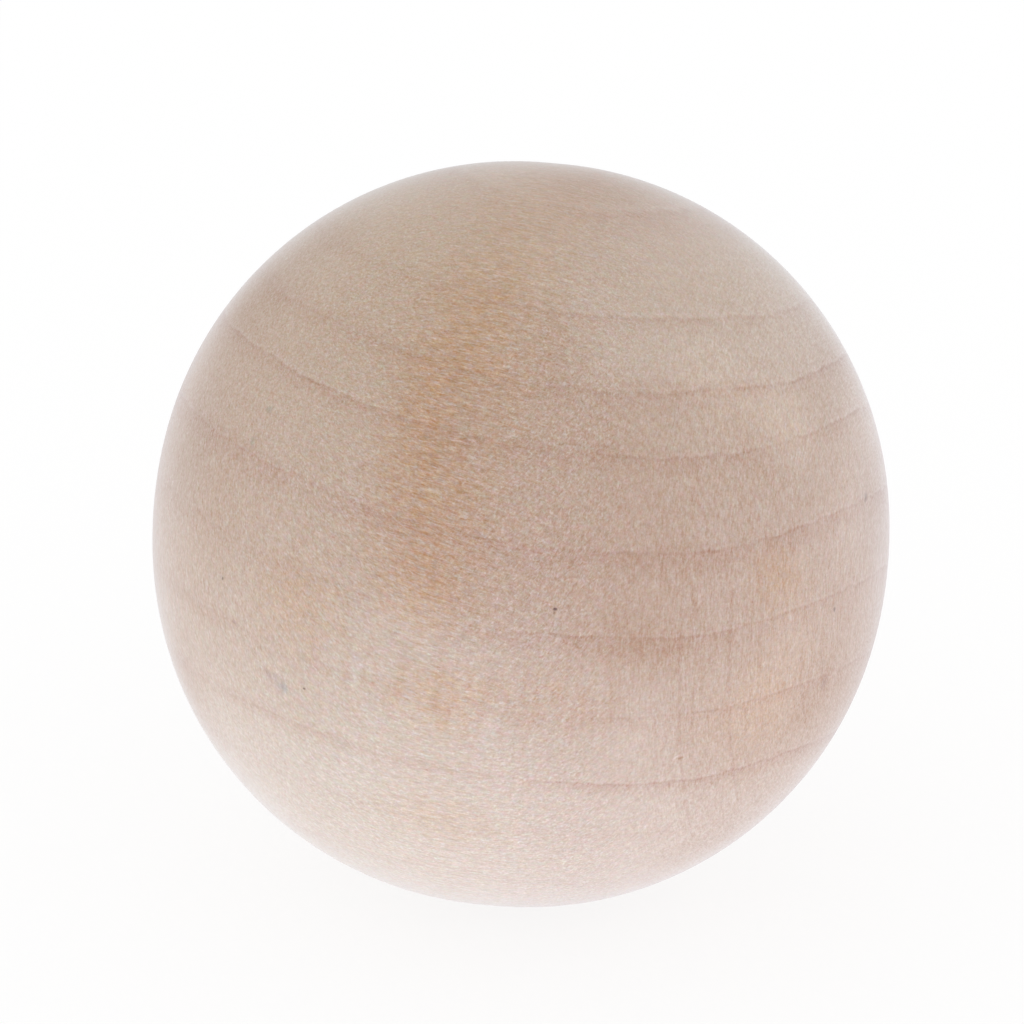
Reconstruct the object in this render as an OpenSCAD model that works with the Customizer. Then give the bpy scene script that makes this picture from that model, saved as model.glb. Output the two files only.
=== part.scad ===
// A plain wooden ball, turned from one piece of pale, close-grained hardwood.
//
// The ball was turned between two centres, so it is a body of revolution about
// the X axis, which runs nearly along the grain. Each half was cut by a round
// concave cutter whose middle sat a little off the ball's middle, outwards and
// along the axis. The ball is therefore not a perfect sphere: the cutter left a
// narrow straight land round the waist, a small flat where each end was parted
// off, and a faint shoulder between the two. It is a touch shorter along the
// grain than across it.

/* [Ball] */
// Diameter round the waist, across the turning axis
ball_d = 40; // [20:0.5:100]

/* [Marks of turning] */
// Diameter of the flat left where each end was parted off
end_flat_d = 1.6; // [0.4:0.1:6]
// Width of the straight land left round the waist
land_w = 0.9; // [0.2:0.1:4]

/* [Hidden] */
$fn = 180;

// Radius of the arc that the cutter leaves
cutter_r = (ball_d - end_flat_d) / 2;
// Half of the ball's length along the turning axis
half_length = cutter_r + land_w / 2;
// Side of the square that keeps a quarter of the cutter's disc
quarter_side = 2 * cutter_r;

// The cutter's arc as a quarter disc, with its middle at the origin
module cutter_quarter() {
    intersection() {
        circle(r = cutter_r);
        square(quarter_side);
    }
}

// Half of one side's section: X is the distance from the turning axis and
// Y the distance from the waist
module half_section() {
    flat_r = end_flat_d / 2;
    half_land = land_w / 2;
    translate([flat_r, half_land]) cutter_quarter();
    // The core under the end flat
    square([flat_r, half_length]);
    // The slab under the land
    square([ball_d / 2, half_land]);
}

// The whole ball, with the turning axis along X
module ball() {
    color("burlywood") rotate([0, 90, 0]) rotate_extrude() {
        half_section();
        mirror([0, 1]) half_section();
    }
}

ball();
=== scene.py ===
"""A plain wooden ball, turned from one piece of pale hardwood and sanded, under soft studio light.

The ball is turned as on a lathe: a quarter of its outline is drawn in the XZ plane, spun round the
X axis, which is the turning axis, and mirrored. Lengths are in metres, or in mm where a name ends in
_mm or a comment says so.
"""

import math

import bpy
from mathutils import Euler, Matrix, Vector


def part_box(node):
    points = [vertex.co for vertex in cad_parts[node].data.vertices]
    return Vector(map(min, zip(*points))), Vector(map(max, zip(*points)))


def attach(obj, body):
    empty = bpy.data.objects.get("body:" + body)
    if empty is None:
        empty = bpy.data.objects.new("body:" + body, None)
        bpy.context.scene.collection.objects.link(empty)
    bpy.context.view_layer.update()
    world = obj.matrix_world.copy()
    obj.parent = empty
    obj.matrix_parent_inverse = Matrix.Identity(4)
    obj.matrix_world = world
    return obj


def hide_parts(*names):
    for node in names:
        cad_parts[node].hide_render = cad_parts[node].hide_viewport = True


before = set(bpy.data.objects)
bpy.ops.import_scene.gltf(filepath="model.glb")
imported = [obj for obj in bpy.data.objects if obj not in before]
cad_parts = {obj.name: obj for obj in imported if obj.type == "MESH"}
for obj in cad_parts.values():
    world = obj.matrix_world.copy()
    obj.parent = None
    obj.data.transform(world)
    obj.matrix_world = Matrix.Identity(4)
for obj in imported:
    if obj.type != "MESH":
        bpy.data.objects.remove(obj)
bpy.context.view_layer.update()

MM = 0.001
TINY = 0.01 * MM                    # nearer than this is the same place on the outline

# ---------------------------------------------------------------- the ball's size, from the frame

BALL_LOW, BALL_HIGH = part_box("ball")
WAIST_R = BALL_HIGH.z               # radius round the waist
HALF_LENGTH = BALL_HIGH.x           # from the waist to an end, along the turning axis
END_FLAT_R = 0.8 * MM               # radius of the flat where each end was parted off
CUTTER_R = WAIST_R - END_FLAT_R     # radius of the arc that the cutter left
HALF_LAND = HALF_LENGTH - CUTTER_R  # half the width of the straight land round the waist

ARC_STEPS = 96                      # edges along a quarter of the outline
SPIN_STEPS = 384                    # edges round the waist
WELD = TINY / 10                    # vertices this close become one
MAP_HALF = 0.498                    # half the map's side, which leaves a thin margin

PIT_CUTS = (2.0, 1.0)               # how far out faces are cut small, each time, in sizes of the pit
PIT_EDGE = 0.3 * MM                 # and this much farther
PIT_SPLITS = 3                      # new vertices on each edge, each time
PIT_BOTTOM = 0.02 * MM              # half the width of a pit's bottom
PIT_SKIN = 0.1 * MM                 # how deep under its place a pit looks for the surface

# ---------------------------------------------------------------- how the blank lay in the tree

# Turns X along the pith, which is the way the tree grew, and Z straight away from it
GRAIN_TURN = Euler([math.radians(angle) for angle in (-23.2, 6.6, 2.5)])
PITH_DEPTH_MM = 54.4                # from the middle of the ball down to the pith
PITH = GRAIN_TURN.to_matrix() @ Vector((0, 0, -PITH_DEPTH_MM * MM))

# ---------------------------------------------------------------- camera and studio

CAMERA_TURN = math.radians(11)      # round the ball, from straight in front
CAMERA_RISE = math.radians(28)      # above the table
CAMERA_DISTANCE = 1527.6 * MM
CAMERA_LENS_MM = 1000
BALL_RIGHT_OF_MIDDLE = 0.49 * MM    # how far the ball stands from the middle of the view
BALL_BELOW_MIDDLE = 1.19 * MM

WHITE = (1.0, 1.0, 1.0, 1.0)
FLOOR_SIZE = 3.0
GLOW_SHARE = 0.85                   # how much of the floor's white shows through the ball's shadow
PANEL_SIZE = 0.3
PANEL_WATTS = 0.10
PANEL_GAP = 0.05 * MM               # the panel's height over the floor

# ---------------------------------------------------------------- marks on the surface

# A place on the ball is given by how far it is along X in mm and by its turn round X in degrees:
# 0 faces -Y and 90 faces up. A mark's tilt is in degrees from the direction of X towards higher turns.

# Small holes: along, turn, tilt, half the length of the bottom in mm, how far its sides reach, depth
PITS = [
    (5.42, 17.2, 8, 0.05, 0.09, 0.06),
    (11.71, -14.3, -4, 0.12, 0.09, 0.035),
]
# Stains, and the colours of the pits, where the nick's dark core is painted shade and the pale mark
# beside it a painted highlight: along, turn, tilt, half the length and half the width in mm,
# how strong, and what it does to red, green and blue
STAINS_AND_NICK_SHADING = [
    (5.42, 17.2, 8, 0.17, 0.11, 1.0, (0.48, 0.38, 0.42, 1.0)),
    (5.38, 16.6, 90, 0.17, 0.08, 0.7, (0.60, 0.55, 0.52, 1.0)),
    # the nick's dark core, painted shade in it
    (11.71, -14.2, -4, 0.27, 0.13, 1.0, (0.78, 0.63, 0.50, 1.0)),
    # a painted highlight on the nick's edge
    (11.57, -13.6, 18, 0.38, 0.12, 1.0, (1.20, 1.24, 1.34, 1.0)),
    (-10.40, -1.5, -50, 0.65, 0.30, 0.9, (0.83, 0.79, 0.81, 1.0)),
    (-9.65, -2.8, -25, 1.00, 0.75, 0.9, (0.87, 0.86, 0.93, 1.0)),
    (-9.37, -3.0, 0, 0.45, 0.40, 0.9, (0.80, 0.90, 0.93, 1.0)),
    (-8.20, -1.7, 10, 0.12, 0.09, 1.0, (0.42, 0.39, 0.37, 1.0)),
    (-13.38, 13.8, 60, 0.15, 0.12, 1.0, (0.46, 0.43, 0.41, 1.0)),
    (18.46, 9.1, 90, 0.20, 0.18, 1.0, (0.50, 0.45, 0.43, 1.0)),
    (18.05, -20.5, 90, 0.60, 0.45, 0.8, (0.80, 0.74, 0.74, 1.0)),
    (19.10, 71.5, 90, 0.50, 0.30, 0.9, (0.62, 0.57, 0.57, 1.0)),
    (-11.50, 47.6, 0, 0.40, 0.30, 0.7, (0.72, 0.84, 0.80, 1.0)),
    (-12.25, 41.6, 90, 0.45, 0.25, 0.7, (0.74, 0.82, 0.80, 1.0)),
    (-12.55, 5.8, 0, 0.25, 0.18, 0.9, (0.72, 0.64, 0.70, 1.0)),
]
# Faint lines that the lathe left: along, the lowest and the highest turn where one shows, and how
# dark it is, or how pale where that is below 0
LATHE_LINES = [
    (-12.45, 5, 14, 0.5),
    (-10.80, 1, 10, 0.5),
    (7.45, -10, 6, 0.4),
    (8.42, -12, 22, 0.35),
    (10.55, -37, 5, 0.5),
    (11.50, -35, 22, -0.3),
    (11.74, -45, 24, 0.65),
    (12.95, 75, 93, 0.6),
    (13.28, -55, -29, 0.5),
    (13.87, -40, -16, -0.5),
    (14.05, -40, 24, 0.75),
    (14.75, -49, -5, 0.5),
    (15.45, -36, 22, 0.5),
    (16.68, 2, 22, -0.8),
    (17.20, -36, 6, 0.45),
    (18.00, -30, 4, 0.5),
]


def deselect_all():
    bpy.ops.object.select_all(action="DESELECT")


def place_on_ball(along_mm, turn, tilt):
    """A place on the surface, and the turn that lays X along a mark there and Z straight out."""
    along = along_mm * MM
    turn = math.radians(turn)
    lean = math.asin(math.copysign(max(abs(along) - HALF_LAND, 0.0), along) / CUTTER_R)
    radius = END_FLAT_R + CUTTER_R * math.cos(lean)
    outwards = Vector((0, -math.cos(turn), math.sin(turn)))
    out = Vector((math.sin(lean), 0, 0)) + math.cos(lean) * outwards
    round_ball = Vector((0, math.sin(turn), math.cos(turn)))
    forward = out.cross(round_ball)
    if forward.x < 0:
        forward = -forward
    tilt = math.radians(tilt)
    length = math.cos(tilt) * forward + math.sin(tilt) * round_ball
    axes = Matrix((length, out.cross(length), out)).transposed()
    return Vector((along, 0, 0)) + radius * outwards, axes


# ================================================================ the turned ball

def pick_vertices(mesh, wanted):
    """Selects, in object mode, the vertices whose place passes the test, and nothing else."""
    for part in (mesh.vertices, mesh.edges, mesh.polygons):
        part.foreach_set("select", [False] * len(part))
    for vertex in mesh.vertices:
        vertex.select = wanted(vertex.co)


def corner(x, z):
    """The test that passes one corner of the outline."""
    return lambda at: math.hypot(at.x - x, at.z - z) < TINY


def in_edit_mode(step, **values):
    """Runs one edit-mode operator on what is selected."""
    bpy.ops.object.mode_set(mode="EDIT")
    step(**values)
    bpy.ops.object.mode_set(mode="OBJECT")


def draw_outline():
    """One quarter of the section: the cutter's arc, closed by the end flat and by half the land."""
    bpy.ops.mesh.primitive_circle_add(
        vertices=4 * ARC_STEPS,
        radius=CUTTER_R,
        location=(HALF_LAND, 0, END_FLAT_R),
        rotation=(math.radians(90), 0, 0),
    )
    outline = bpy.context.object
    bpy.ops.object.transform_apply(location=True, rotation=True, scale=True)
    mesh = outline.data
    pick_vertices(mesh, lambda at: at.x < HALF_LAND - TINY or at.z < END_FLAT_R - TINY)
    in_edit_mode(bpy.ops.mesh.delete, type="VERT")
    pick_vertices(mesh, corner(HALF_LENGTH, END_FLAT_R))
    in_edit_mode(
        bpy.ops.mesh.extrude_region_move,
        TRANSFORM_OT_translate={"value": (0, 0, -END_FLAT_R)},
    )
    pick_vertices(mesh, corner(HALF_LAND, WAIST_R))
    in_edit_mode(
        bpy.ops.mesh.extrude_region_move,
        TRANSFORM_OT_translate={"value": (-HALF_LAND, 0, 0)},
    )
    return outline


def turn_ball():
    """Spins the outline round the X axis and mirrors it to the other half."""
    deselect_all()
    ball = draw_outline()
    ball.name = "turned_ball"
    pick_vertices(ball.data, lambda at: True)
    in_edit_mode(
        bpy.ops.mesh.spin,
        steps=SPIN_STEPS,
        angle=2 * math.pi,
        center=(0, 0, 0),
        axis=(1, 0, 0),
    )
    mirror = ball.modifiers.new("other half", "MIRROR")
    mirror.use_axis = (True, False, False)
    mirror.merge_threshold = WELD
    bpy.ops.object.modifier_apply(modifier=mirror.name)
    pick_vertices(ball.data, lambda at: True)
    in_edit_mode(bpy.ops.mesh.remove_doubles, threshold=WELD)
    pick_vertices(ball.data, lambda at: True)
    in_edit_mode(bpy.ops.mesh.normals_make_consistent, inside=False)
    for pit in PITS:
        press_pit(ball, *pit)
    bpy.ops.object.shade_smooth()
    return ball


def press_pit(ball, along_mm, turn, tilt, half_length_mm, reach_mm, depth_mm):
    """Cuts the faces round a place small, and moves a short line of them in, with soft sides."""
    place, axes = place_on_ball(along_mm, turn, tilt)
    for share in PIT_CUTS:
        spread = share * (half_length_mm + reach_mm) * MM
        pick_vertices(ball.data, lambda at: (at - place).length < spread + PIT_EDGE)
        in_edit_mode(bpy.ops.mesh.subdivide, number_cuts=PIT_SPLITS, smoothness=1.0, ngon=False)

    def on_bottom(at):
        off = axes.transposed() @ (at - place)
        return abs(off.x) < half_length_mm * MM and abs(off.y) < PIT_BOTTOM and abs(off.z) < PIT_SKIN

    pick_vertices(ball.data, on_bottom)
    in_edit_mode(
        bpy.ops.transform.translate,
        value=axes.col[2] * -depth_mm * MM,
        use_proportional_edit=True,
        proportional_edit_falloff="SMOOTH",
        proportional_size=reach_mm * MM,
    )


def unfold_on_map(ball):
    """Gives the ball a map on which each part gets the same room. The front is in the middle, and
    the back, which is cut along the XY and YZ planes, is in the corners."""
    mesh = ball.data
    layer = mesh.uv_layers.new(name="OFBake")
    for face in mesh.polygons:
        for loop in face.loop_indices:
            at = mesh.vertices[mesh.loops[loop].vertex_index].co.normalized()
            reach = math.sqrt(max(1 - abs(at.y), 0))
            up = reach * math.atan2(abs(at.z), abs(at.x)) / math.radians(90)
            right = reach - up
            if face.center.y > 0:
                right, up = 1 - up, 1 - right
            layer.uv[loop].vector = (
                0.5 + MAP_HALF * math.copysign(right, face.center.x),
                0.5 + MAP_HALF * math.copysign(up, face.center.z),
            )


# ================================================================ node trees

NOISE_GAIN = 4.0                    # takes a noise, which is mostly 0.25 to 0.75, to -1 to 1
NODE_STEP = 180                     # how far each node stands to the right of the last


class Nodes:
    """Adds nodes to one tree, from left to right, and links each to what feeds it."""

    def __init__(self, tree):
        self.tree = tree

    def feed(self, socket, value):
        """Links the socket to another, or sets it to a plain value. None leaves it as it is."""
        if isinstance(value, bpy.types.NodeSocket):
            self.tree.links.new(value, socket)
        elif value is not None:
            socket.default_value = value

    def add(self, kind, inputs=(), **settings):
        """Adds a node with these settings, and feeds its inputs, given as {name or number: value}."""
        node = self.tree.nodes.new(kind)
        node.location.x = NODE_STEP * len(self.tree.nodes)
        for name, value in settings.items():
            setattr(node, name, value)
        for name, value in dict(inputs).items():
            self.feed(node.inputs[name], value)
        return node

    def math(self, operation, first, second=None, third=None):
        node = self.add("ShaderNodeMath", operation=operation)
        for socket, value in zip(node.inputs, (first, second, third)):
            self.feed(socket, value)
        return node.outputs[0]

    def span(self, value, start, end, low=0.0, high=1.0, smooth=False):
        """Takes value from start..end to low..high and holds it there outside them."""
        return self.add(
            "ShaderNodeMapRange",
            {"Value": value, "From Min": start, "From Max": end, "To Min": low, "To Max": high},
            interpolation_type="SMOOTHSTEP" if smooth else "LINEAR",
        ).outputs["Result"]

    def between(self, share, first, second):
        """The value that lies this share of the way from the first to the second."""
        return self.add("ShaderNodeMix", {0: share, 2: first, 3: second}).outputs[0]

    def mix(self, factor, first, second, blend="MIX"):
        """Mixes two colours. A factor below 0 goes the other way."""
        node = self.add(
            "ShaderNodeMix", data_type="RGBA", blend_type=blend, clamp_factor=False)
        self.feed(node.inputs[0], factor)
        self.feed(node.inputs[6], first)
        self.feed(node.inputs[7], second)
        return node.outputs[2]

    def noise(self, vector, scale=1.0, detail=2.0, roughness=0.5, curl=0.0):
        """A noise with its middle at 0, mostly between -1 and 1."""
        value = self.add("ShaderNodeTexNoise", {
            "Vector": vector, "Scale": scale, "Detail": detail, "Roughness": roughness,
            "Distortion": curl}).outputs[0]
        return self.math("MULTIPLY_ADD", value, NOISE_GAIN, -NOISE_GAIN / 2)

    def seen_from(self, vector, middle=(0, 0, 0), turn=(0, 0, 0), size=(1, 1, 1)):
        """A place as it is seen from a middle and a turn, measured in these sizes."""
        return self.add("ShaderNodeMapping", {
            "Vector": vector, "Location": middle, "Rotation": turn, "Scale": size},
            vector_type="TEXTURE").outputs[0]

    def vector_math(self, operation, first, second=None, third=None, scale=None):
        node = self.add("ShaderNodeVectorMath", operation=operation)
        for socket, value in zip(node.inputs, (first, second, third, scale)):
            self.feed(socket, value)
        return node.outputs["Value" if operation == "LENGTH" else "Vector"]

    def vector(self, x, y, z):
        return self.add("ShaderNodeCombineXYZ", {"X": x, "Y": y, "Z": z}).outputs[0]

    def parts(self, vector):
        return self.add("ShaderNodeSeparateXYZ", {"Vector": vector}).outputs[:3]


def new_group(name, inputs, outputs):
    """A node group with these sockets, each {name: kind}, and the Nodes that fill it."""
    tree = bpy.data.node_groups.new(name, "ShaderNodeTree")
    kinds = {"value": "NodeSocketFloat", "colour": "NodeSocketColor", "vector": "NodeSocketVector"}
    for side, sockets in (("INPUT", inputs), ("OUTPUT", outputs)):
        for socket, kind in sockets.items():
            tree.interface.new_socket(name=socket, in_out=side, socket_type=kinds[kind])
    nodes = Nodes(tree)
    entry = nodes.add("NodeGroupInput")
    leave = nodes.add("NodeGroupOutput")
    return tree, nodes, entry.outputs, leave.inputs


def place_group(nodes, tree, inputs):
    """Places a group with what feeds it, and gives its outputs."""
    return nodes.add("ShaderNodeGroup", inputs, node_tree=tree).outputs


def srgb(red, green, blue):
    """A colour given as a picture editor shows it, 0 to 255, as Blender wants it."""
    def linear(value):
        value = value / 255
        return value / 12.92 if value <= 0.04045 else ((value + 0.055) / 1.055) ** 2.4
    return (linear(red), linear(green), linear(blue), 1.0)


# ================================================================ the wood

# What happens over a stretch is written as where it starts and ends, and how much it is at both. A
# height is above the ring that crosses the middle of the ball, and a slope is that of the surface to
# the fibres: 0 where they lie in it, 1 on end grain, and below 0 towards low X.

PALE_WOOD = srgb(203, 186, 178)
BROWN_WOOD = srgb(183, 156, 141)
# What each does to the wood's red, green and blue
OUTER_WOOD = (0.99, 1.015, 0.96, 1.0)
LOW_X_WOOD = (0.995, 1.012, 0.975, 1.0)
LATE_WOOD = (0.89, 0.79, 0.77, 1.0)
RING_LINE = (0.86, 0.76, 0.73, 1.0)
# partly the wood's own tan and partly painted chatoyance
LONG_GRAIN_AND_CHATOYANCE = (0.94, 0.80, 0.66, 1.0)
LATHE_LINE = (0.93, 0.88, 0.87, 1.0)
GLINT = (0.85, 1.0, 1.1, 1.0)       # the colour of the painted glints, towards which the fine strokes lighten the wood

# The rings turn away from the pith near the high X end, by mm over mm along the fibres
RINGS_TURN = (13.0, 20.0, 0.0, 1.15)
RING_WANDER = (0.09, 0.2)           # how close in 1/mm, and how far in mm
JOG_SIZE = (1.6, 0.8)               # along the fibres and round the pith, in mm
JOG = 0.11                          # mm
# The fibres lean round the stem, by mm over mm: most at this height, and less by the square of how
# many mm they are away from it
LEAN = 0.19
LEAN_HEIGHT = 11.2
LEAN_LOSS = -0.13 / 20 ** 2
# They also dip towards the pith as they run to high X, less the more mm they are from this height
DIP_HEIGHT = 1.5
DIP = (3.0, 12.0, 0.15, 0.0)

# Each growth ring, from the pith side outwards: the height in mm of the line that ends it, and how
# many mm of late wood lie under the line; how dark the late wood is at the low and the high X side;
# how plain the line is at the low X side, right of the middle and at the high X side; and how brown
# the ring is at the low and the high X side
RINGS = [
    (-16.2, 1.0, (0.24, 0.18), (0.4, 0.3, 0.3), (0.02, 0.10)),
    (-12.1, 0.9, (0.15, 0.15), (0.3, 0.3, 0.4), (0.04, 0.14)),
    (-8.4, 0.9, (0.43, 0.63), (0.35, 0.8, 0.8), (0.10, 0.16)),
    (-4.1, 1.3, (0.33, 0.33), (0.3, 0.4, 0.6), (0.36, 0.42)),
    (0.5, 1.6, (0.22, 0.32), (0.4, 0.85, 0.65), (0.56, 0.62)),
    (4.9, 1.6, (0.52, 0.52), (0.5, 0.5, 0.7), (0.72, 0.92)),
    (9.4, 1.0, (0.45, 0.43), (0.9, 0.3, 0.95), (0.78, 0.96)),
    (12.1, 1.0, (0.42, 0.56), (0.3, 0.3, 0.85), (0.86, 0.96)),
    (15.0, 0.8, (0.25, 0.30), (0.4, 0.8, 0.6), (0.90, 0.58)),
    (18.9, 1.5, (0.30, 0.55), (0.5, 0.8, 0.6), (0.96, 0.62)),
    (22.0, 1.0, (0.25, 0.25), (0.5, 0.5, 0.5), (1.05, 0.80)),
]
FIRST_RING_MIDDLE = -2.0            # the first ring's middle, in mm from its line
SIDES = (-0.3, 0.4)                 # the slopes at which the low and the high X side begin
LINE_TO_MIDDLE = (0.0, 0.25)        # the slopes over which a line changes from low X to the middle
LINE_TO_HIGH_X = (0.45, 0.75)       # and from there to high X
LINE_EDGE = (0.85, -0.6)            # how soft its outer edge is in mm, and what plainness adds
LINE_WIDTH = (0.03, 0.11)           # half, in mm, where it is full and where it ends
PALE_LINE_WIDTH = (0.03, 0.12)
PALE_LINE_OFF = 0.17                # mm outside the line
# Lines come and go along the fibres, and are faint where the long grain shows
BREAK_SIZE = (4.0, 2.5, 2.5)        # mm
BREAKS = (-0.8, 0.8, 0.45, 1.45)
LINE_BY_STEEPNESS = (0.0, 0.3, 0.5, 1.0)
RING_LINE_SHARE = 0.45
PALE_LINE_SHARE = 0.06

# Soft patches that make the colour browner (or paler) and tanner (or greyer) than the rings do: the
# middle in mm along, across and out, the reach in mm the same three ways, how much browner, how much
# tanner
PATCHES = [
    ((14, -11, 9.5), (5.5, 4, 3.5), -0.7, 0.4),
    ((10, -13.5, 11), (5, 4.5, 4), -0.4, 0.3),
    ((14.5, -12.5, -6), (6, 5, 4), -0.5, 0.5),
    ((16, -11.5, -3), (4, 5, 6), -0.5, 0.4),
    ((15.5, -9.5, -8), (5, 5, 4), -0.2, 0.2),
    ((9.5, -16, -8), (4, 4, 3), -0.2, 0.1),
    ((8.5, -18, -3), (6, 4, 3), 0.4, 0),
    ((9, -17.5, 1.5), (5, 4, 3.5), 0.1, 0),
    ((1.5, -16, 11.5), (3.5, 5, 4.5), 0.35, 0),
    ((15, -2.5, 13), (5, 6, 4.5), 0.55, -0.2),
    ((19, -3.5, 5), (3.5, 6, 5), 0.55, -0.5),
    ((12.5, -6, -14.5), (7, 5, 4), 0.4, 0),
    ((15, -13.5, 1.5), (3.5, 4, 3), -0.2, 0.7),
    ((1.5, -4, 19.5), (6, 5.5, 3.5), 0.6, -0.2),
    ((-15.5, -6.5, 10.5), (6, 6, 5), 0.6, -0.6),
    ((-12, -6.5, 14.5), (4, 4, 3), 0.4, -0.3),
    ((-17.5, -9, 2.5), (4, 5, 6), 0.35, -0.8),
    ((-15.5, -6.5, -10.5), (4, 5, 6), 0.6, 0.1),
    ((-2.5, -18.5, 7), (2.5, 5, 5), 0.15, -0.7),
    ((-3.5, -19.5, -3), (3.5, 3, 2.5), -0.3, 0.35),
    ((-1.5, -18.5, -7.5), (4.5, 3, 3), -0.1, 0.5),
    ((-10, -17, -4), (5, 4, 4), -0.1, 0.5),
    ((4, -18.5, -6.5), (7, 3, 2.5), 0, 0.3),
    ((-1, -14, -14.5), (6, 4, 3), 0, 0.3),
    ((-7.5, -13.5, -13), (7, 6, 4.5), 0, -0.12),
    ((9.5, -16, 8), (4, 4, 3), -0.15, 0),
    ((17.5, -8, 5), (3, 4.5, 4), -0.2, 0.15),
    ((-3, -10.5, 16), (6, 5, 4.5), 0, -0.12),
    ((3, -12, 16), (4, 3.5, 3), 0.1, 0),
    ((-17, -10, -2.5), (3, 4, 3.5), -0.12, 0),
]
OUTER_WOOD_HEIGHT = (4.0, 16.0)     # the heights over which outer wood takes over
LOW_X_SLOPE = (0.3, -0.3)           # the slopes over which the low X side's wood takes over
# End grain is browner: over which steepness, over which slopes low X gives way to high X, how much
# at low X, and how much at high X by height. At high X, the brown low down is partly painted shade.
END_GRAIN_STEEPNESS = (0.45, 1.0)
END_GRAIN_SIDES = (-0.2, 0.2)
END_GRAIN_LOW_X = 0.5
END_GRAIN_AND_SHADE_HIGH_X = (-6.0, 3.0, 0.87, -0.2)
# In the lower half the middle is paler than the sides
PALE_MIDDLE_STEEPNESS = (0.1, 0.4, 1.0, 0.0)
PALE_MIDDLE_HEIGHT = (-1.0, 1.5, 0.17, 0.0)

# Long grain shows where the fibres lie in the surface, mostly over the fifth line, and is fullest
# within so many mm of one height. Its tan is partly the wood's own and partly painted chatoyance, the
# way the lying fibres take the light.
LYING = (0.0, 0.27, 1.0, 0.0)
LONG_GRAIN_HEIGHT = (-1.6, 3.0, 0.05, 0.7)
LONG_GRAIN_ON_TOP = (15.0, 19.0, 1.0, 0.5)
FULLEST_HEIGHT = 10.0
FULLEST = (1.0, 6.0, 0.3, 0.0)
MOTTLE_SIZE = (1.2, 0.2, 0.2)       # mm
MOTTLE = 0.3

# The fine figure turns with the surface. Each kind of stroke: the slope at which it shows most, its
# lean from the fibres away from the pith in degrees, and its length and thickness in mm
STROKES = [
    (-0.70, -66, 0.36, 0.15),
    (-0.33, -40, 0.36, 0.14),
    (0.00, 0, 0.65, 0.13),
    (0.36, 60, 0.34, 0.14),
]
STEEPEST = 2.0                      # more than any slope
STROKE_CURL = 0.8
GRIT_SIZE = 0.13                    # mm
GRIT_SHARE = 0.5
GLINT_START = 0.25                  # strokes brighter than this are brighter still, as painted glints
GLINT_GAIN = 0.25
GLINT_LOSS = -0.02                  # keeps the wood's mean shade
TINT_SIZE = (0.5, 0.25, 0.25)       # mm
TINT_STEEPNESS = (0.3, 0.6, 1.0, 0.72)
# Towards both ends the strokes run round the turning axis instead: over how many mm along X, and
# the lathe's share of the figure
LATHE_AT_HIGH_X = (6.0, 12.0, 0.0, 0.75)
LATHE_AT_LOW_X = (-5.0, -11.0, 0.0, 0.35)
LATHE_STROKE = (0.12, 0.55)         # the strokes' thickness and length in mm
LATHE_STRENGTH = 1.15
LATHE_GRIT_SIZE = 0.15              # mm
LATHE_GRIT_SHARE = 0.8
LATHE_LINE_WIDTH = (0.03, 0.10)     # half, in mm, where a line is full and where it ends
LATHE_LINE_FADE = 6                 # degrees over which a line fades in and out
LATHE_BREAKS = (-0.8, 0.8, 0.5, 1.4)
LATHE_BREAK_CLOSENESS = 0.7         # in 1/mm
# How plain the fine figure is, by slope, by height and by mm along X
FIGURE_BY_SLOPE = (0.0, 0.3, 1.0, 1.12)
FIGURE_AT_BOTTOM = (-14.0, -8.0, 1.25, 1.0)
FIGURE_ON_TOP = (14.0, 19.0, 1.0, 0.7)
FIGURE_AT_LOW_X = (-5.0, -11.0, 1.0, 1.25)

# The rays are thin sheets that stand on the pith: their sizes along, round the pith and out, in mm
RAY_SHEET = (0.6, 0.22, 2.6)
RAY_FLECK = (0.5, 0.8, 2.5)
# They show as flecks at the sides, by mm across, within so many mm of one height
FLECK_SIDE = (16.5, 18.0, 0.0, 0.05)
FLECK_HEIGHT = -4.5
FLECK_REACH = (1.5, 3.5, 1.0, 0.0)

# How much the painted glints of the strokes and the rays lighten the wood, on all of it, on lying
# fibres and on end grain
GLINT_SHARE = (0.087, 0.01, -0.02)
RAY_SHARE = (0.01, 0.03)            # on all of it, and on end grain
END_GRAIN = (0.3, 0.65)             # the slopes over which end grain begins
STROKE_SHADE = 0.07                 # how much the strokes and the rays brighten its own colour
RAY_SHADE = 0.015
# How far the tint goes in red, green and blue: warm or cool, what long grain adds to that, and green
WARM_TINT = (0.078, -0.01, -0.052)
LONG_GRAIN_TINT = (0.06, 0.06, -0.08)
GREEN_TINT = (-0.02, 0.065, -0.05)

STAIN_RAGS = (4.0, 0.15)            # how close in 1/mm a stain's edge is ragged, and how much
STAIN_EDGE = (0.2, 1.0)             # where a stain begins to fade and ends, in its own sizes

ROUGHNESS = (0.85, 1.0, 0.33, 0.38)  # end grain is rougher
SHEEN = 0.4                         # the nap of the sanded fibres
SHEEN_ROUGHNESS = 0.35
SHEEN_TINT = (0.75, 0.86, 1.0, 1.0)
BUMP = 0.3
BUMP_DEPTH = 0.01 * MM


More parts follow.
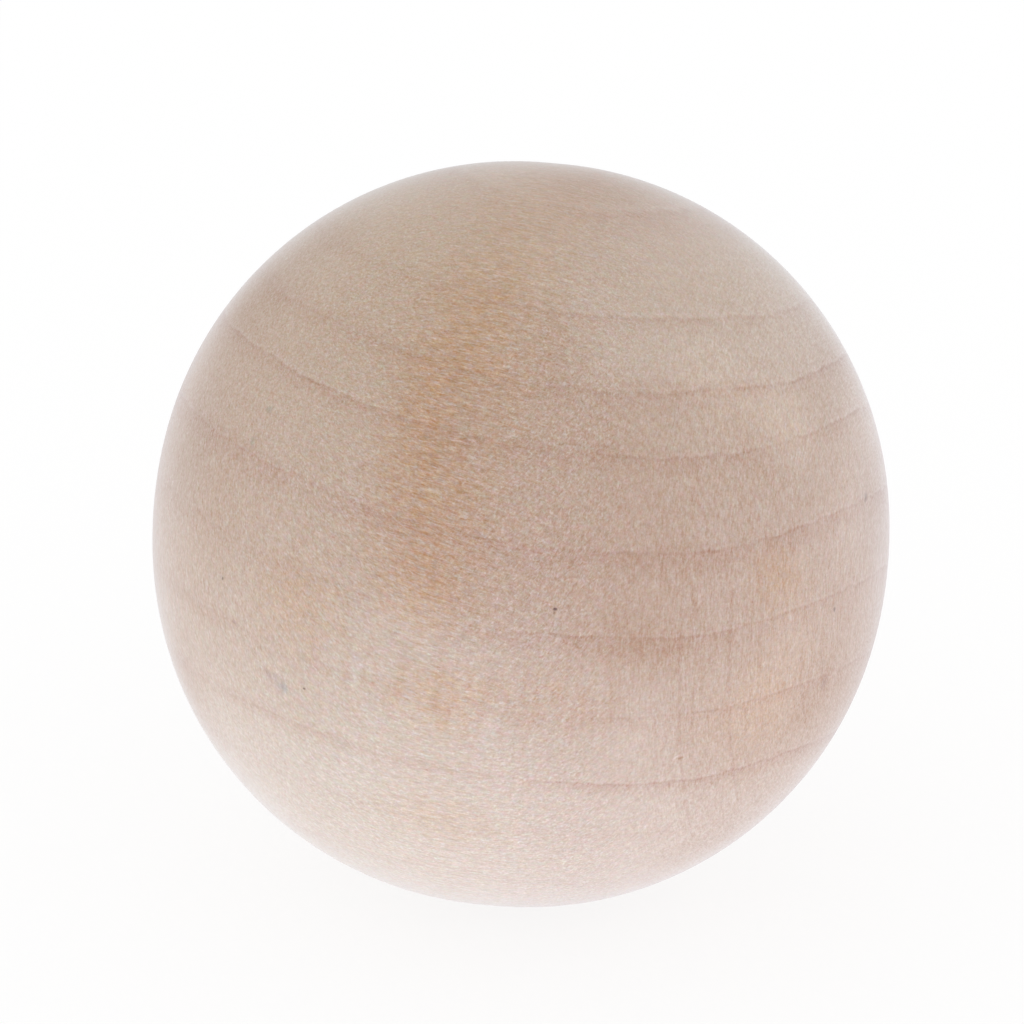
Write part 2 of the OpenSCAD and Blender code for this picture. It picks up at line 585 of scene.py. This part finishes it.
def wood_axes_group():
    """Places in the wood, in mm: along the fibres, across them, and out from the pith."""
    tree, nodes, given, result = new_group(
        "wood axes",
        {"Place": "vector"},
        {"In tree": "vector", "Along": "value", "Across": "value", "Out": "value",
         "Round pith": "value", "Ring height": "value", "Fibres": "vector",
         "Slope": "value", "Steepness": "value"},
    )
    from_pith = nodes.seen_from(given["Place"], PITH, GRAIN_TURN, (MM, MM, MM))
    in_tree = nodes.vector_math("ADD", from_pith, (0.0, 0.0, -PITH_DEPTH_MM))
    along, across, out = nodes.parts(from_pith)
    round_pith = nodes.math("MULTIPLY", nodes.math("ARCTAN2", across, out), PITH_DEPTH_MM)
    radius = nodes.math("SQRT", nodes.math(
        "MULTIPLY_ADD", across, across, nodes.math("MULTIPLY", out, out)))
    height = nodes.math("SUBTRACT", radius, PITH_DEPTH_MM)
    height = nodes.math("SUBTRACT", height, nodes.span(along, *RINGS_TURN))
    # The rings wander a little, and jog where they cross the rays
    closeness, wander = RING_WANDER
    height = nodes.math("MULTIPLY_ADD", nodes.noise(from_pith, scale=closeness), wander, height)
    jogs = nodes.noise(nodes.vector(
        nodes.math("DIVIDE", along, JOG_SIZE[0]), nodes.math("DIVIDE", round_pith, JOG_SIZE[1]), 0.0))
    height = nodes.math("MULTIPLY_ADD", jogs, JOG, height)
    off_peak = nodes.math("SUBTRACT", height, LEAN_HEIGHT)
    lean = nodes.math("MULTIPLY_ADD", nodes.math("MULTIPLY", off_peak, off_peak), LEAN_LOSS, LEAN)
    off_dip = nodes.math("ABSOLUTE", nodes.math("SUBTRACT", height, DIP_HEIGHT))
    dip = nodes.span(off_dip, *DIP, smooth=True)
    fibres = nodes.vector(
        along, nodes.math("MULTIPLY_ADD", along, lean, across),
        nodes.math("MULTIPLY_ADD", along, dip, out))
    slope = nodes.math("DIVIDE", nodes.math(
        "SUBTRACT", along, nodes.math("MULTIPLY", lean, across)), WAIST_R / MM)
    for name, value in (("In tree", in_tree), ("Along", along), ("Across", across), ("Out", out),
                        ("Round pith", round_pith), ("Ring height", height), ("Fibres", fibres),
                        ("Slope", slope), ("Steepness", nodes.math("ABSOLUTE", slope))):
        nodes.feed(result[name], value)
    return tree


def growth_rings_group():
    """How brown the early wood is, and how much late wood, ring line and pale line there is."""
    tree, nodes, given, result = new_group(
        "growth rings",
        {"Ring height": "value", "Slope": "value"},
        {"Brown": "value", "Late wood": "value", "Ring line": "value", "Pale line": "value"},
    )
    height = given["Ring height"]
    side = nodes.span(given["Slope"], *SIDES, smooth=True)
    brown_low, brown_high = RINGS[0][4]
    middle = RINGS[0][0] + FIRST_RING_MIDDLE
    late = line = pale = 0.0
    for ring, after in zip(RINGS, RINGS[1:] + RINGS[-1:]):
        end, late_mm, late_amounts, (line_low, line_middle, line_high), brown = ring
        last_middle, middle = middle, (end + after[0]) / 2
        past = nodes.span(height, last_middle, middle)
        brown_low = nodes.math("MULTIPLY_ADD", past, after[4][0] - brown[0], brown_low)
        brown_high = nodes.math("MULTIPLY_ADD", past, after[4][1] - brown[1], brown_high)
        late_amount = nodes.span(side, 0.0, 1.0, *late_amounts)
        plainness = nodes.math(
            "ADD", nodes.span(given["Slope"], *LINE_TO_MIDDLE, line_low, line_middle),
            nodes.span(given["Slope"], *LINE_TO_HIGH_X, 0.0, line_high - line_middle))
        # A plain line is a sharp edge of the late wood, and a faint one is soft
        softest, sharper = LINE_EDGE
        rise = nodes.span(height, end - late_mm, end, 0.0, late_amount, smooth=True)
        edge = nodes.math("MULTIPLY_ADD", plainness, sharper, end + softest)
        late = nodes.math("MULTIPLY_ADD", rise, nodes.span(height, end, edge, 1.0, 0.0), late)
        off = nodes.math("SUBTRACT", height, end)
        here = nodes.span(nodes.math("ABSOLUTE", off), *LINE_WIDTH, 1.0, 0.0)
        line = nodes.math("MULTIPLY_ADD", here, plainness, line)
        off = nodes.math("ABSOLUTE", nodes.math("SUBTRACT", off, PALE_LINE_OFF))
        here = nodes.span(off, *PALE_LINE_WIDTH, 1.0, 0.0)
        pale = nodes.math("MULTIPLY_ADD", here, plainness, pale)
    for name, value in (("Brown", nodes.between(side, brown_low, brown_high)), ("Late wood", late),
                        ("Ring line", line), ("Pale line", pale)):
        nodes.feed(result[name], value)
    return tree


def patches_group():
    """How much browner and tanner than its rings the colour is at a place."""
    tree, nodes, given, result = new_group(
        "patches", {"In tree": "vector"}, {"Brown": "value", "Tan": "value"})
    brown = tan = 0.0
    for middle, reach, browner, tanner in PATCHES:
        off = nodes.seen_from(given["In tree"], middle, size=reach)
        share = nodes.span(nodes.vector_math("LENGTH", off), 0.0, 1.0, 1.0, 0.0, smooth=True)
        brown = nodes.math("MULTIPLY_ADD", share, browner, brown)
        tan = nodes.math("MULTIPLY_ADD", share, tanner, tan)
    nodes.feed(result["Brown"], brown)
    nodes.feed(result["Tan"], tan)
    return tree


def fibres_group():
    """The fine figure: long dashes where the fibres lie in the surface, short strokes elsewhere."""
    tree, nodes, given, result = new_group(
        "fibres", {"Fibres": "vector", "Slope": "value"}, {"Fine": "value", "Tint": "vector"})
    slope = given["Slope"]
    before = [-STEEPEST] + [stroke[0] for stroke in STROKES]
    after = before[2:] + [STEEPEST]
    fine = 0.0
    for (peak, lean, length, thickness), start, end in zip(STROKES, before, after):
        leant = nodes.seen_from(
            given["Fibres"], turn=(0.0, math.radians(-lean), 0.0),
            size=(length, thickness, thickness))
        rise = 1.0 if start == -STEEPEST else nodes.span(slope, start, peak)
        fall = 1.0 if end == STEEPEST else nodes.span(slope, peak, end, 1.0, 0.0)
        share = nodes.math("SQRT", nodes.math("MINIMUM", rise, fall))
        strokes = nodes.noise(leant, detail=1, roughness=1.0, curl=STROKE_CURL)
        fine = nodes.math("MULTIPLY_ADD", strokes, share, fine)
    grit = nodes.noise(given["Fibres"], scale=1 / GRIT_SIZE, detail=1)
    fine = nodes.math("MULTIPLY_ADD", grit, GRIT_SHARE, fine)
    over = nodes.math("MAXIMUM", nodes.math("SUBTRACT", fine, GLINT_START), 0.0)
    nodes.feed(result["Fine"], nodes.math(
        "MULTIPLY_ADD", over, GLINT_GAIN, nodes.math("ADD", fine, GLINT_LOSS)))
    tint = nodes.add("ShaderNodeTexNoise", {
        "Vector": nodes.seen_from(given["Fibres"], size=TINT_SIZE),
        "Scale": 1.0, "Detail": 2.0, "Roughness": 0.8}).outputs["Color"]
    # Its middle is brought to 0, as in noise
    nodes.feed(result["Tint"], nodes.vector_math(
        "MULTIPLY_ADD", tint, 3 * (NOISE_GAIN,), 3 * (-NOISE_GAIN / 2,)))
    return tree


def rays_group():
    """The wood rays: thin sheets that stand on the pith and run out through the rings."""
    tree, nodes, given, result = new_group(
        "rays",
        {"Along": "value", "Round pith": "value", "Out": "value"},
        {"Rays": "value", "Flecks": "value"},
    )
    place = nodes.vector(given["Along"], given["Round pith"], given["Out"])
    nodes.feed(result["Rays"], nodes.noise(nodes.seen_from(place, size=RAY_SHEET)))
    nodes.feed(result["Flecks"], nodes.noise(nodes.seen_from(place, size=RAY_FLECK), detail=0))
    return tree


def lathe_marks_group():
    """Marks that run round the turning axis: fine strokes, and a few long faint lines."""
    tree, nodes, given, result = new_group(
        "lathe marks", {"Place": "vector"}, {"Strokes": "value", "Lines": "value"})
    along, depth, height = nodes.parts(
        nodes.vector_math("SCALE", given["Place"], scale=1 / MM))
    # The way from the waist over the surface, so that the strokes stay thin towards the ends
    way = nodes.math("ARCSINE", nodes.math("DIVIDE", along, WAIST_R / MM))
    thickness, length = LATHE_STROKE
    strokes = nodes.noise(nodes.vector(
        nodes.math("MULTIPLY", way, WAIST_R / MM / thickness),
        nodes.math("DIVIDE", depth, length),
        nodes.math("DIVIDE", height, length),
    ), detail=1, roughness=1.0)
    grit = nodes.noise(given["Place"], scale=1 / (LATHE_GRIT_SIZE * MM), detail=1, roughness=1.0)
    both = nodes.math("MULTIPLY_ADD", grit, LATHE_GRIT_SHARE, strokes)
    nodes.feed(result["Strokes"], nodes.math("MULTIPLY", both, LATHE_STRENGTH))

    turn = nodes.math("DEGREES", nodes.math("ARCTAN2", height, nodes.math("MULTIPLY", depth, -1.0)))
    lines = 0.0
    for place, lowest, highest, strength in LATHE_LINES:
        off = nodes.math("ABSOLUTE", nodes.math("SUBTRACT", along, place))
        line = nodes.span(off, *LATHE_LINE_WIDTH, strength, 0.0)
        from_middle = nodes.math("ABSOLUTE", nodes.math("SUBTRACT", turn, (lowest + highest) / 2))
        half = (highest - lowest) / 2
        stretch = nodes.span(from_middle, half - LATHE_LINE_FADE, half, 1.0, 0.0)
        lines = nodes.math("MULTIPLY_ADD", line, stretch, lines)
    breaks = nodes.noise(given["Place"], scale=LATHE_BREAK_CLOSENESS / MM, detail=1)
    nodes.feed(result["Lines"], nodes.math("MULTIPLY", lines, nodes.span(breaks, *LATHE_BREAKS)))
    return tree


def stains_and_nick_shading_group():
    """Lays each stain, and the nick's painted shade and highlight, over a colour."""
    tree, nodes, given, result = new_group(
        "stains_and_nick_shading", {"Place": "vector", "Colour": "colour"}, {"Colour": "colour"})
    closeness, raggedness = STAIN_RAGS
    rags = nodes.noise(given["Place"], scale=closeness / MM, detail=1)
    colour = given["Colour"]
    # Some of these are the nick's painted shade and highlight
    for along_mm, turn, tilt, half_length, half_width, strength, mark_colour in STAINS_AND_NICK_SHADING:
        middle, axes = place_on_ball(along_mm, turn, tilt)
        off = nodes.seen_from(
            given["Place"], middle, axes.to_euler(), (half_length * MM, half_width * MM, MM))
        distance = nodes.math("MULTIPLY_ADD", rags, raggedness, nodes.vector_math("LENGTH", off))
        share = nodes.span(distance, *STAIN_EDGE, strength, 0.0, smooth=True)
        colour = nodes.mix(share, colour, mark_colour, blend="MULTIPLY")
    nodes.feed(result["Colour"], colour)
    return tree


def fine_figure(nodes, along_x, wood, fibres, lathe):
    """The fine strokes: the fibres' in the middle, and more of the lathe's towards both ends."""
    turned = nodes.math("ADD", nodes.span(along_x, *LATHE_AT_HIGH_X, smooth=True),
                        nodes.span(along_x, *LATHE_AT_LOW_X, smooth=True))
    fine = nodes.between(turned, fibres["Fine"], lathe["Strokes"])
    for value, plainness in ((wood["Slope"], FIGURE_BY_SLOPE),
                             (wood["Ring height"], FIGURE_AT_BOTTOM),
                             (wood["Ring height"], FIGURE_ON_TOP),
                             (along_x, FIGURE_AT_LOW_X)):
        fine = nodes.math("MULTIPLY", fine, nodes.span(value, *plainness))
    return fine


def long_grain_share(nodes, wood, lying, patches):
    """How much of the tan of long grain, partly painted chatoyance, the wood shows."""
    height = wood["Ring height"]
    off_fullest = nodes.math("ABSOLUTE", nodes.math("SUBTRACT", height, FULLEST_HEIGHT))
    fullness = nodes.math("ADD", nodes.span(height, *LONG_GRAIN_HEIGHT, smooth=True),
                          nodes.span(off_fullest, *FULLEST, smooth=True))
    share = nodes.math("MULTIPLY", lying, fullness)
    share = nodes.math("MULTIPLY", share, nodes.span(height, *LONG_GRAIN_ON_TOP))
    mottle = nodes.noise(
        nodes.seen_from(wood["Fibres"], size=MOTTLE_SIZE), detail=1, roughness=0.7)
    mottled = nodes.math("MULTIPLY_ADD", mottle, MOTTLE, 1.0)
    return nodes.math("MULTIPLY_ADD", share, mottled, patches["Tan"])


def early_wood(nodes, wood, rings, patches):
    """The colour of the wood between the rings' lines."""
    slope, steepness, height = wood["Slope"], wood["Steepness"], wood["Ring height"]
    # At high X the end grain's brown low down is partly painted shade
    end_grain = nodes.between(nodes.span(slope, *END_GRAIN_SIDES), END_GRAIN_LOW_X,
                              nodes.span(height, *END_GRAIN_AND_SHADE_HIGH_X))
    brown = nodes.math("MULTIPLY_ADD", nodes.span(steepness, *END_GRAIN_STEEPNESS, smooth=True),
                       end_grain, nodes.math("ADD", rings["Brown"], patches["Brown"]))
    pale_middle = nodes.math("MULTIPLY", nodes.span(steepness, *PALE_MIDDLE_STEEPNESS, smooth=True),
                             nodes.span(height, *PALE_MIDDLE_HEIGHT, smooth=True))
    brown = nodes.math("SUBTRACT", brown, pale_middle)
    colour = nodes.mix(brown, PALE_WOOD, BROWN_WOOD)
    outer = nodes.span(height, *OUTER_WOOD_HEIGHT)
    colour = nodes.mix(outer, colour, OUTER_WOOD, blend="MULTIPLY")
    low_x = nodes.span(slope, *LOW_X_SLOPE)
    return nodes.mix(low_x, colour, LOW_X_WOOD, blend="MULTIPLY")


def draw_rings(nodes, wood, rings, colour):
    """Lays the late wood and the rings' lines over a colour."""
    breaks = nodes.noise(nodes.seen_from(wood["Fibres"], size=BREAK_SIZE), roughness=0.7)
    plainness = nodes.math("MULTIPLY", nodes.span(wood["Steepness"], *LINE_BY_STEEPNESS),
                           nodes.span(breaks, *BREAKS))
    late = nodes.math("MULTIPLY", rings["Late wood"], plainness)
    colour = nodes.mix(late, colour, LATE_WOOD, blend="MULTIPLY")
    line = nodes.math("MULTIPLY", rings["Ring line"], plainness)
    line = nodes.math("MULTIPLY", line, RING_LINE_SHARE)
    colour = nodes.mix(line, colour, RING_LINE, blend="MULTIPLY")
    pale = nodes.math("MULTIPLY", rings["Pale line"], plainness)
    return nodes.mix(nodes.math("MULTIPLY", pale, PALE_LINE_SHARE), colour, WHITE)


def paint_glints_on_strokes(nodes, wood, lying, rays, fine, colour):
    """Lightens a colour along the fine strokes and the rays with painted glints, since cut fibres
    catch the light.
    """
    end_grain = nodes.span(wood["Slope"], *END_GRAIN)
    share, on_lying, on_end_grain = GLINT_SHARE
    strength = nodes.math("MULTIPLY_ADD", end_grain, on_end_grain, share)
    strength = nodes.math("MULTIPLY_ADD", lying, on_lying, strength)
    glint = nodes.math("MULTIPLY", fine, strength)
    share, on_end_grain = RAY_SHARE
    strength = nodes.math("MULTIPLY_ADD", end_grain, on_end_grain, share)
    glint = nodes.math("MULTIPLY_ADD", rays["Rays"], strength, glint)
    at_side = nodes.span(nodes.math("ABSOLUTE", wood["Across"]), *FLECK_SIDE, smooth=True)
    off = nodes.math("ABSOLUTE", nodes.math("SUBTRACT", wood["Ring height"], FLECK_HEIGHT))
    strength = nodes.math("MULTIPLY", at_side, nodes.span(off, *FLECK_REACH))
    glint = nodes.math("MULTIPLY_ADD", rays["Flecks"], strength, glint)
    # painted glints, mixed into the colour
    colour = nodes.mix(glint, colour, GLINT)
    shade = nodes.math("MULTIPLY_ADD", fine, STROKE_SHADE, 1.0)
    shade = nodes.math("MULTIPLY_ADD", rays["Rays"], RAY_SHADE, shade)
    return nodes.vector_math("SCALE", colour, scale=shade)


def tint_fibres(nodes, wood, fibres, long_grain, colour):
    """Tints a colour a little warmer or cooler, and greener or redder, from stroke to stroke."""
    strength = nodes.span(wood["Steepness"], *TINT_STEEPNESS)
    warmth, green, _ = nodes.parts(nodes.vector_math("SCALE", fibres["Tint"], scale=strength))
    warm = nodes.vector_math("MULTIPLY_ADD", long_grain, LONG_GRAIN_TINT, WARM_TINT)
    tint = nodes.vector_math("MULTIPLY_ADD", warm, warmth, (1.0, 1.0, 1.0))
    tint = nodes.vector_math("MULTIPLY_ADD", green, GREEN_TINT, tint)
    return nodes.vector_math("MULTIPLY", colour, tint)


def pale_hardwood():
    """Bare, sanded, close-grained wood."""
    material = bpy.data.materials.new("pale_hardwood")
    material.use_nodes = True
    nodes = Nodes(material.node_tree)
    shader = material.node_tree.nodes["Principled BSDF"]

    place = nodes.add("ShaderNodeTexCoord").outputs["Object"]
    along_x = nodes.math("DIVIDE", nodes.parts(place)[0], MM)
    wood = place_group(nodes, wood_axes_group(), {"Place": place})
    rings = place_group(nodes, growth_rings_group(), {
        "Ring height": wood["Ring height"], "Slope": wood["Slope"]})
    patches = place_group(nodes, patches_group(), {"In tree": wood["In tree"]})
    fibres = place_group(nodes, fibres_group(), {"Fibres": wood["Fibres"], "Slope": wood["Slope"]})
    rays = place_group(nodes, rays_group(), {
        "Along": wood["Along"], "Round pith": wood["Round pith"], "Out": wood["Out"]})
    lathe = place_group(nodes, lathe_marks_group(), {"Place": place})
    lying = nodes.span(wood["Steepness"], *LYING, smooth=True)
    long_grain = long_grain_share(nodes, wood, lying, patches)
    fine = fine_figure(nodes, along_x, wood, fibres, lathe)

    colour = early_wood(nodes, wood, rings, patches)
    colour = draw_rings(nodes, wood, rings, colour)
    # The tan of long grain, partly painted chatoyance
    colour = nodes.mix(long_grain, colour, LONG_GRAIN_AND_CHATOYANCE, blend="MULTIPLY")
    colour = nodes.mix(lathe["Lines"], colour, LATHE_LINE, blend="MULTIPLY")
    # Painted glints along the fine strokes and the rays
    colour = paint_glints_on_strokes(nodes, wood, lying, rays, fine, colour)
    colour = tint_fibres(nodes, wood, fibres, long_grain, colour)
    # Stains, and the nick's painted shade and highlight
    colour = place_group(nodes, stains_and_nick_shading_group(), {"Place": place, "Colour": colour})["Colour"]
    nodes.feed(shader.inputs["Base Color"], colour)

    nodes.feed(shader.inputs["Roughness"], nodes.span(wood["Steepness"], *ROUGHNESS))
    shader.inputs["IOR"].default_value = 1.5
    shader.inputs["Sheen Weight"].default_value = SHEEN
    shader.inputs["Sheen Roughness"].default_value = SHEEN_ROUGHNESS
    shader.inputs["Sheen Tint"].default_value = SHEEN_TINT
    bump = nodes.add("ShaderNodeBump", {"Height": fine, "Strength": BUMP, "Distance": BUMP_DEPTH})
    nodes.feed(shader.inputs["Normal"], bump.outputs["Normal"])
    return material


# ================================================================ the studio

def add_floor():
    """A plain white table top that fades into a white room and keeps a faint shadow of the ball."""
    deselect_all()
    bpy.ops.mesh.primitive_plane_add(size=FLOOR_SIZE, location=(0, 0, BALL_LOW.z))
    floor = bpy.context.object
    floor.name = "table_top"
    material = bpy.data.materials.new("white_table")
    material.use_nodes = True
    nodes = Nodes(material.node_tree)
    material.node_tree.nodes.remove(material.node_tree.nodes["Principled BSDF"])
    output = material.node_tree.nodes["Material Output"]
    seen = nodes.add("ShaderNodeLightPath").outputs
    paint = nodes.add("ShaderNodeBsdfDiffuse", {"Color": WHITE}).outputs[0]
    glow = nodes.add("ShaderNodeEmission", {"Color": WHITE, "Strength": 1.0}).outputs[0]
    looked_at = nodes.math("MAXIMUM", seen["Is Camera Ray"], nodes.math(
        "MAXIMUM", seen["Is Glossy Ray"], seen["Is Transmission Ray"]))
    share = nodes.math("MULTIPLY", looked_at, GLOW_SHARE)
    both = nodes.add("ShaderNodeMixShader", {0: share, 1: paint, 2: glow}).outputs[0]
    nodes.feed(output.inputs["Surface"], both)
    floor.data.materials.append(material)


def light_studio():
    """A white room that lights the ball evenly, and a light panel laid on the table, shining up."""
    world = bpy.data.worlds.new("white_room")
    bpy.context.scene.world = world
    world.use_nodes = True
    room = world.node_tree.nodes["Background"]
    room.inputs["Color"].default_value = WHITE
    room.inputs["Strength"].default_value = 1.0

    lamp = bpy.data.lights.new("table_panel", "AREA")
    lamp.shape = "SQUARE"
    lamp.size = PANEL_SIZE
    lamp.energy = PANEL_WATTS
    panel = bpy.data.objects.new("table_panel", lamp)
    panel.location = (0, 0, BALL_LOW.z + PANEL_GAP)
    panel.rotation_euler = (math.radians(180), 0, 0)
    panel.visible_camera = False
    bpy.context.scene.collection.objects.link(panel)


def add_camera():
    """A long lens, so that the ball is seen almost without perspective."""
    data = bpy.data.cameras.new("camera")
    data.lens = CAMERA_LENS_MM
    data.clip_start = 1 * MM
    camera = bpy.data.objects.new("camera", data)
    camera.rotation_euler = (math.radians(90) - CAMERA_RISE, 0, CAMERA_TURN)
    turn = camera.rotation_euler.to_matrix()
    camera.location = turn @ Vector((-BALL_RIGHT_OF_MIDDLE, BALL_BELOW_MIDDLE, CAMERA_DISTANCE))
    bpy.context.scene.collection.objects.link(camera)
    bpy.context.scene.camera = camera


bpy.context.scene.view_settings.view_transform = "Standard"

add_camera()
light_studio()
add_floor()

turned_ball = turn_ball()
unfold_on_map(turned_ball)
turned_ball.data.materials.append(pale_hardwood())
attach(turned_ball, "root")
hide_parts("ball")
